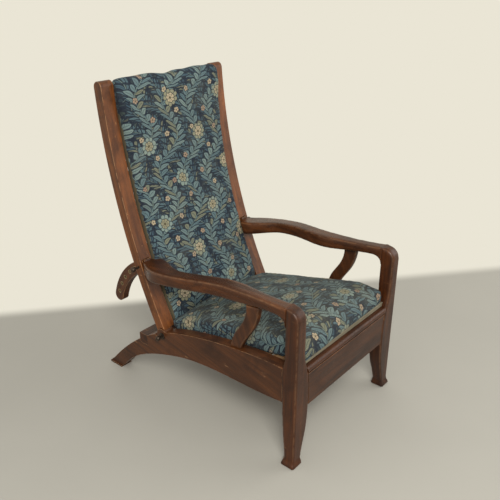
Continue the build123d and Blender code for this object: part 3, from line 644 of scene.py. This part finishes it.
def fabricFinish(name):
    cloth = Cloth(name)
    flat = cloth.mapped(cloth.node("ShaderNodeUVMap", {"uv_map": "panels"}), scale=fabricLook["scale"])
    uneven = cloth.noise(flat, 30, 3, 0.6)
    shaken = cloth.node("ShaderNodeTexNoise", take="Color", Vector=flat, Scale=24.0, Detail=1.0)
    wavy = cloth.mix(fabricLook["waver"], flat, shaken)
    colour = cloth.mix(cloth.ramp(uneven, 0.35, 0.7), fabricShades["ground"], fabricShades["groundPale"])
    height = uneven * 0.1
    for look in frondLayers:
        blade, rib, stem, halo, chance = cloth.fronds(wavy, look)
        first, second = (fabricShades[shade] for shade in look["shade"])
        tint = cloth.mix(chance[1], first, second)
        oddFrom, oddStrength = fabricLook["oddLeaf"]
        tint = cloth.mix(cloth.step(chance[2], oddFrom, 0.01) * oddStrength, tint, fabricShades["broad"])
        colour = cloth.mix(halo * fabricLook["halo"], colour, fabricShades["ground"])
        colour = cloth.mix(stem * fabricLook["stem"], colour, fabricShades["stem"])
        colour = cloth.mix(blade * look["strength"], colour, tint)
        colour = cloth.mix(rib * fabricLook["rib"], colour, fabricShades["ground"])
        height = height + blade * 0.3 - rib * 0.2
    for look in blossomLayers:
        petal, line, heart, halo, chance = cloth.blossoms(wavy, look)
        first, second = (fabricShades[shade] for shade in look["shade"])
        colour = cloth.mix(halo * fabricLook["halo"], colour, fabricShades["ground"])
        colour = cloth.mix(petal, colour, cloth.mix(chance[1], first, second))
        colour = cloth.mix(line * fabricLook["line"], colour, fabricShades["ground"])
        colour = cloth.mix(heart, colour, fabricShades["heart"])
        height = height + petal * 0.2
    across, along = cloth.split(flat)[:2]
    # the pad's plain cloth, with its colour darkened as a painted shade
    colour = cloth.mix(cloth.step(cloth.painted("plain"), 0.5, 0.12), colour, fabricShades["plain"])
    warp = (across * (2 * math.pi / fabricLook["warp"])).math("SINE")
    weft = (along * (2 * math.pi / fabricLook["weft"])).math("SINE")
    thread = warp * weft
    speck = cloth.noise(flat, 900, 2, 0.6)
    worn = cloth.noise(flat, 9, 4, 0.65)
    dusty = cloth.ramp(speck, 0.35, 0.75) * fabricLook["dust"]
    colour = cloth.mix(dusty, colour, fabricShades["dust"])
    sunk = cloth.ramp(thread, -0.6, 0.9) * fabricLook["thread"]
    colour = cloth.mix(sunk, colour, fabricShades["ground"])
    colour = cloth.mix(cloth.ramp(worn, 0.45, 0.75) * fabricLook["worn"], colour, fabricShades["dust"])
    colour = cloth.mix(cloth.painted("faded") * fabricLook["faded"], colour, fabricShades["faded"])
    colour = cloth.mix(cloth.painted("seam") * fabricLook["seam"], colour, fabricShades["ground"])
    relief = cloth.bump(thread * 0.3 + speck * 0.5 + height * 0.6, *fabricLook["relief"])
    return cloth.set(Base_Color=colour, Roughness=0.9, Normal=relief, Sheen_Weight=0.08,
                     Sheen_Roughness=0.5, Sheen_Tint=(*srgb(150, 158, 160), 1), Specular_IOR_Level=0.2)


coverCloth = fabricFinish("tapestryCover")
print("cover cloth made")


# cushions: a smaller copy, swelled as cloth, kept inside the CAD form
coverLook = {"quality": 6, "mass": 0.25, "bending": 0.6, "spacing": 0.002, "least": 0.9, "seam": 0.0035,
             "even": 0.4}


def startShape(node, look):
    shape = bmesh.new()
    shape.from_mesh(frame["nodes"][node].data)
    bmesh.ops.remove_doubles(shape, verts=shape.verts, dist=1e-5)
    shape.normal_update()
    seams = []
    for edge in crispEdges(shape, edgeAngles["seam"]):
        ends = [vert.co - vert.normal * look["inset"] for vert in edge.verts]
        count = max(2, int((ends[1] - ends[0]).length / coverLook["spacing"]))
        seams += [ends[0].lerp(ends[1], step / count) for step in range(count + 1)]
    inward = {vert: vert.co - vert.normal * look["inset"] * vert.calc_shell_factor() for vert in shape.verts}
    for vert, spot in inward.items():
        vert.co = spot
    mesh = bpy.data.meshes.new(node + "Start")
    shape.to_mesh(mesh)
    shape.free()
    return voxelMesh(mesh, look["voxel"]), seams


def swell(mesh, look):
    piece = newPiece("swelling", mesh)
    cloth = piece.modifiers.new("cloth", "CLOTH")
    cloth.settings.quality = coverLook["quality"]
    cloth.settings.mass = coverLook["mass"]
    cloth.settings.tension_stiffness = look["stiff"]
    cloth.settings.compression_stiffness = look["stiff"]
    cloth.settings.shear_stiffness = look["stiff"] / 2
    cloth.settings.bending_stiffness = coverLook["bending"]
    cloth.settings.use_pressure = True
    cloth.settings.uniform_pressure_force = look["pressure"]
    cloth.settings.effector_weights.gravity = 0
    cloth.collision_settings.use_collision = False
    cloth.point_cache.frame_start = 1
    cloth.point_cache.frame_end = look["frames"]
    for step in range(1, look["frames"] + 1):
        bpy.context.scene.frame_set(step)
    grown = bakedMesh(piece)
    places = [vert.co.copy() for vert in grown.vertices]
    bpy.data.meshes.remove(grown)
    bpy.data.objects.remove(piece)
    bpy.context.scene.frame_set(1)
    return places


# the seat deck's slope and the back's arc, which the panels follow
deckPlane = {"y": -0.406, "z": 0.345, "slope": math.radians(11.9)}
pivotSpot = (0.132, 0.231)
pegArc = {"radius": 0.244, "angle": math.radians(65.8)}
pegSpot = (pivotSpot[0] + pegArc["radius"] * math.cos(pegArc["angle"]),
           pivotSpot[1] + pegArc["radius"] * math.sin(pegArc["angle"]))
backTopSpot = (0.359, 1.038)


# how far a spot lies along the deck, and how high above it
def deckPlaceOf(spot):
    y, z = spot.y - deckPlane["y"], spot.z - deckPlane["z"]
    slope = deckPlane["slope"]
    return y * math.cos(slope) - z * math.sin(slope), y * math.sin(slope) + z * math.cos(slope)


def circleThrough(first, second, third):
    ax, ay = first
    bx, by = second[0] - ax, second[1] - ay
    cx, cy = third[0] - ax, third[1] - ay
    cross = 2 * (bx * cy - by * cx)
    ux = (cy * (bx * bx + by * by) - by * (cx * cx + cy * cy)) / cross
    uy = (bx * (cx * cx + cy * cy) - cx * (bx * bx + by * by)) / cross
    return (ax + ux, ay + uy), math.hypot(ux, uy)


backCentre, backRadius = circleThrough(pivotSpot, pegSpot, backTopSpot)


# how far a spot lies up the back's arc, and how far in front of it
def backPlaceOf(spot):
    y, z = spot.y - backCentre[0], spot.z - backCentre[1]
    foot = math.atan2(pivotSpot[1] - backCentre[1], pivotSpot[0] - backCentre[0])
    return (math.atan2(z, y) - foot) * backRadius, backRadius - math.hypot(y, z)


backEnd = backPlaceOf(Vector((0, *backTopSpot)))[0]


def eased(value):
    value = min(max(value, 0), 1)
    return value * value * (3 - 2 * value)


# where the seat cover's panels meet, and how far apart their patterns lie
seatPanels = {"underHigh": 0.05, "downward": -0.6, "topLow": 0.058, "corner": 0.23, "length": 0.53,
              "fold": 0.062, "apart": 2, "squeeze": 0.2}


def seatPanel(face):
    middle = face.calc_center_median()
    s, h = deckPlaceOf(middle)
    if h < seatPanels["underHigh"] and face.normal.z < seatPanels["downward"]:
        return "under"
    if h > seatPanels["topLow"]:
        return "top"
    corner = seatPanels["corner"] - abs(middle.x)
    if s < corner:
        return "front"
    return "rear" if seatPanels["length"] - s < corner else "side"


def seatPattern(spot, panel):
    s, h = deckPlaceOf(spot)
    drop = max(0, seatPanels["fold"] - h)
    if panel == "under":
        return spot.x + seatPanels["apart"], -s
    if panel == "top":
        return spot.x, s
    if panel == "front":
        return spot.x, s * seatPanels["squeeze"] - drop
    if panel == "rear":
        return spot.x, s + drop
    return spot.x + math.copysign(drop, spot.x), s


padPanels = {"sideways": 0.75, "fold": 0.03, "apart": (5, 3)}


def padPanel(face):
    return "return" if abs(face.normal.x) > padPanels["sideways"] else "face"


def padPattern(spot, panel):
    s, depth = backPlaceOf(spot)
    x = spot.x
    if panel == "return":
        x += math.copysign(max(0, padPanels["fold"] - depth), spot.x)
    return x + padPanels["apart"][0], s + padPanels["apart"][1]


# how much of a point shows the pad's plain cloth, which is drawn darker as a painted shade: its rear, and its
# sides but for the head
# each pair is where the change starts and over how much
padCloth = {"side": (0.45, 0.3), "belowHead": (0.085, 0.03), "deep": (0.0245, 0.003), "rear": (0.6, 0.2)}


def padPlainAndShade(spot, normal):
    s, depth = backPlaceOf(spot)
    side = eased((abs(normal.x) - padCloth["side"][0]) / padCloth["side"][1])
    side *= eased((backEnd - padCloth["belowHead"][0] - s) / padCloth["belowHead"][1])
    side *= eased((padCloth["deep"][0] - depth) / padCloth["deep"][1])
    outward = Vector((0, spot.y - backCentre[0], spot.z - backCentre[1])).normalized()
    return max(side, eased((normal.dot(outward) - padCloth["rear"][0]) / padCloth["rear"][1]))


# the pad's head is uneven, and its corners bunch over the stiles
# "from" is where the change starts and over how much, a ripple is a height and a rate
padHead = {"from": (0.07, 0.06), "bump": (0.12, 0.04, 0.003), "dip": (0.035, 0.006), "ripple": (0.0015, 60),
           "lean": (0.3, 0.95)}
padCorner = {"across": (0.165, 0.05), "deep": (0.021, 0.008), "from": (0.11, 0.05), "out": 0.006,
             "ripple": (0.0015, 170)}
padLump = {"rate": 19, "height": 0.0014}


def padAdjust(place, start):
    s, depth = backPlaceOf(start)
    head = eased((s - backEnd + padHead["from"][0]) / padHead["from"][1])
    aside, wide, high = padHead["bump"]
    dipWide, deep = padHead["dip"]
    rise = high * smoothFall(start.x + aside, wide) - deep * smoothFall(start.x, dipWide)
    rise += padHead["ripple"][0] * math.sin(start.x * padHead["ripple"][1])
    bunch = eased((abs(start.x) - padCorner["across"][0]) / padCorner["across"][1])
    bunch *= eased((depth - padCorner["deep"][0]) / padCorner["deep"][1])
    bunch *= eased((s - backEnd + padCorner["from"][0]) / padCorner["from"][1])
    bunch *= padCorner["out"] + padCorner["ripple"][0] * math.sin(s * padCorner["ripple"][1])
    lump = noise.noise(start * padLump["rate"]) * padLump["height"]
    across = math.copysign(bunch, start.x)
    return place + Vector((across, rise * head * padHead["lean"][0] - lump, rise * head * padHead["lean"][1]))


# the seat's front sags over the deck's edge, more on the near side, and its corners are pulled out
seatSag = {"along": (0.04, 0.035), "low": (0.05, 0.04), "width": 0.46, "out": (0.003, 0.004),
           "down": (0.002, 0.006)}
seatCorners = [
    {"s": 0, "x": 0.215, "h": 0.036, "wide": 0.03, "high": 0.016, "out": 0.009, "along": -0.006},
    {"s": 0.532, "x": 0.222, "h": 0.03, "wide": 0.03, "high": 0.014, "out": 0.004, "along": 0.006},
]
seatLump = {"rate": 17, "height": 0.0016}


def seatAdjust(place, start):
    s, h = deckPlaceOf(start)
    front = eased((seatSag["along"][0] - s) / seatSag["along"][1])
    low = eased((seatSag["low"][0] - h) / seatSag["low"][1])
    near = min(max(0.5 - start.x / seatSag["width"], 0), 1)
    across = 0
    along = -front * (seatSag["out"][0] + seatSag["out"][1] * near)
    for corner in seatCorners:
        pull = smoothFall(s - corner["s"], corner["wide"])
        pull *= smoothFall(abs(start.x) - corner["x"], corner["wide"])
        pull *= smoothFall(h - corner["h"], corner["high"])
        across += corner["out"] * pull
        along += corner["along"] * pull
    lump = noise.noise(start * seatLump["rate"]) * seatLump["height"]
    down = front * low * (seatSag["down"][0] + seatSag["down"][1] * near)
    return place + Vector((math.copysign(across, start.x), along, lump - down))


cushions = {
    "seat": {"node": "seat_cushion", "name": "seatCushionCover", "voxel": 0.006, "inset": 0.0045,
             "pressure": 4.0, "stiff": 12, "frames": 18, "cap": 0.024, "proud": 0.002, "slide": 0.4,
             "faded": 1, "fill": 0.75, "panelOf": seatPanel, "patternOf": seatPattern,
             "adjust": seatAdjust},
    "back": {"node": "back_pad", "name": "backPadCover", "voxel": 0.006, "inset": 0.004,
             "pressure": 4.0, "stiff": 14, "frames": 16, "cap": 0.022, "proud": 0.002, "slide": 0.4,
             "faded": 0, "fill": 0.6, "panelOf": padPanel, "patternOf": padPattern,
             "adjust": padAdjust, "plainOf": padPlainAndShade},
}


# each point's place once the cover has swelled, slid a little and met the CAD form
def coverPlaces(mesh, starts, look):
    places = swell(mesh.copy(), look)
    solid = mergedCopy(look["node"])
    limits = bvhtree.BVHTree.FromBMesh(solid)
    solid.free()
    for index, (start, place) in enumerate(zip(starts, places)):
        out = mesh.vertices[index].normal
        moved = place - start
        slid = moved - out * moved.dot(out)
        place = start + out * min(max(moved.dot(out), look["inset"] * coverLook["least"]), look["cap"])
        place += slid * min(look["slide"], look["slide"] * look["cap"] / max(slid.length, 0.0001))
        close, normal = limits.find_nearest(place)[:2]
        if (place - close).dot(normal) > look["proud"]:
            place = close + normal * look["proud"]
        places[index] = look["adjust"](place, start)
    return places


def makeCushion(look):
    mesh, seams = startShape(look["node"], look)
    starts = [vert.co.copy() for vert in mesh.vertices]
    tree = treeOf(seams)
    near = [tree.find(spot)[2] for spot in starts]
    places = coverPlaces(mesh, starts, look)
    shape = bmesh.new()
    shape.from_mesh(mesh)
    shape.verts.ensure_lookup_table()
    seam = shape.verts.layers.float.new("seam")
    plain = shape.verts.layers.float.new("plain")
    faded = shape.verts.layers.float.new("faded")
    flat = shape.loops.layers.uv.new("panels")
    for face in shape.faces:
        panel = look["panelOf"](face)
        for loop in face.loops:
            loop[flat].uv = look["patternOf"](starts[loop.vert.index], panel)
    for vert in shape.verts:
        normal = mesh.vertices[vert.index].normal
        vert.co = places[vert.index]
        vert[seam] = smoothFall(near[vert.index], coverLook["seam"])
        vert[faded] = look["faded"] * eased(normal.z)
        if "plainOf" in look:
            vert[plain] = look["plainOf"](starts[vert.index], normal)
    bmesh.ops.smooth_vert(shape, verts=shape.verts, factor=coverLook["even"], use_axis_x=True,
                          use_axis_y=True, use_axis_z=True)
    mesh = bpy.data.meshes.new(look["name"])
    shape.to_mesh(mesh)
    shape.free()
    mesh.polygons.foreach_set("use_smooth", [True] * len(mesh.polygons))
    mesh.materials.append(coverCloth)
    piece = newPiece(look["name"], mesh)
    finer = piece.modifiers.new("finer", "SUBSURF")
    finer.levels = finer.render_levels = 1
    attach(piece, bodyHolding(look["node"]))
    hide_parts(look["node"])
    print("cushion made:", look["name"], len(mesh.vertices), "points")


for look in cushions.values():
    makeCushion(look)


# metal: dark turned pins and pegs, dull brass eyelets, steel screws
def metalFinish(name, base, tint, rough, grain, metallic=1.0):
    metal = Finish(name)
    place = metal.coords()
    cloud = metal.noise(place, grain, 4, 0.6)
    pits = metal.ramp(metal.noise(place, grain * 9, 3, 0.6), 0.55, 0.75)
    colour = metal.mix(metal.ramp(cloud, 0.35, 0.7), base, tint)
    colour = metal.mix(pits * 0.4, colour, tuple(c * 0.4 for c in base))
    return metal.set(Base_Color=colour, Metallic=metallic, Roughness=cloud * 0.25 + rough + pits * 0.1,
                     Normal=metal.bump(cloud * 0.4 - pits * 0.6, 0.4, 0.0002))


metalFinishes = {
    "dark_iron": metalFinish("darkIron", srgb(52, 45, 40), srgb(88, 74, 62), 0.34, 210, 0.85),
    "brass": metalFinish("dullBrass", srgb(170, 152, 116), srgb(206, 192, 160), 0.3, 320),
    "screw_steel": metalFinish("screwSteel", srgb(120, 118, 114), srgb(150, 148, 144), 0.34, 260),
}
for node, held in frame["nodes"].items():
    slotName = slotOf(node)
    if slotName in metalFinishes:
        for index in range(len(held.data.materials)):
            held.material_slots[index].link = "OBJECT"
            held.material_slots[index].material = metalFinishes[slotName]
print("metal finished")


# stage: a pale floor that fades into a cream backdrop behind the chair, soft lamps
stageLook = {
    "floor": srgb(168, 164, 152),
    "far": srgb(234, 229, 213),
    "size": 40.0,
    "foot": (-0.235, 0.908),
    "turn": math.radians(51.4),
    "edge": (-0.01, 0.08),
    "round": (1.5, 3.4),
}


def floorFinish(look):
    paint = Finish("floorPaint")
    place = paint.coords()
    patch = paint.noise(place, 1.6, 4, 0.55)
    grit = paint.noise(place, 90, 3, 0.6)
    shade = paint.mix(paint.ramp(patch, 0.3, 0.7) * 0.4, look["floor"], tuple(c * 0.9 for c in look["floor"]))
    paint.set(Base_Color=shade, Roughness=0.6, Normal=paint.bump(grit, 0.15, 0.001))
    x, y = paint.split(place)[:2]
    away = (x - look["foot"][0]) * math.cos(look["turn"]) + (y - look["foot"][1]) * math.sin(look["turn"])
    far = (x * x + y * y).math("SQRT")
    fade = paint.ramp(away, *look["edge"]).higher(paint.ramp(far, *look["round"]))
    plain = paint.node("ShaderNodeEmission", Color=(*look["far"], 1), Strength=1.0)
    both = paint.node("ShaderNodeMixShader", n0=fade * paint.seen(),
                      n1=Wire(paint.tree, paint.skin.outputs[0]), n2=plain)
    paint.tree.links.new(both.socket, paint.out.inputs[0])
    return paint.material


def makeStage(look):
    sheet = bmesh.new()
    bmesh.ops.create_grid(sheet, x_segments=1, y_segments=1, size=look["size"])
    mesh = bpy.data.meshes.new("floor")
    sheet.to_mesh(mesh)
    sheet.free()
    mesh.materials.append(floorFinish(look))
    floor = newPiece("floor", mesh)


makeStage(stageLook)


lamps = {
    "keyLamp": {"place": (-1.9, -2.0, 2.6), "aim": (0, 0, 0.4), "size": 1.1, "power": 86},
    "glintLamp": {"place": (-1.6, -1.5, 1.9), "aim": (0, 0, 0.5), "size": 0.3, "power": 7},
    "fillLamp": {"place": (2.2, -1.8, 1.8), "aim": (0, 0, 0.4), "size": 2.2, "power": 30},
}
skyLook = {"light": (0.63, 0.63, 0.63), "seen": stageLook["far"], "strength": 1.0}


def addLamp(name, look):
    data = bpy.data.lights.new(name, "AREA")
    data.size = look["size"]
    data.energy = look["power"]
    lamp = bpy.data.objects.new(name, data)
    lamp.location = look["place"]
    lamp.rotation_euler = (Vector(look["aim"]) - Vector(look["place"])).to_track_quat("-Z", "Y").to_euler()
    bpy.context.scene.collection.objects.link(lamp)


for name, look in lamps.items():
    addLamp(name, look)
world = bpy.context.scene.world or bpy.data.worlds.new("world")
bpy.context.scene.world = world
world.use_nodes = True
sky = Nodes(world.node_tree)
backdrop = sky.tree.nodes["Background"]
plug(sky.tree, backdrop.inputs["Color"], sky.mix(sky.seen(), skyLook["light"], skyLook["seen"]))
backdrop.inputs["Strength"].default_value = skyLook["strength"]
bpy.context.scene.view_settings.view_transform = "Standard"
print("stage and lamps set")
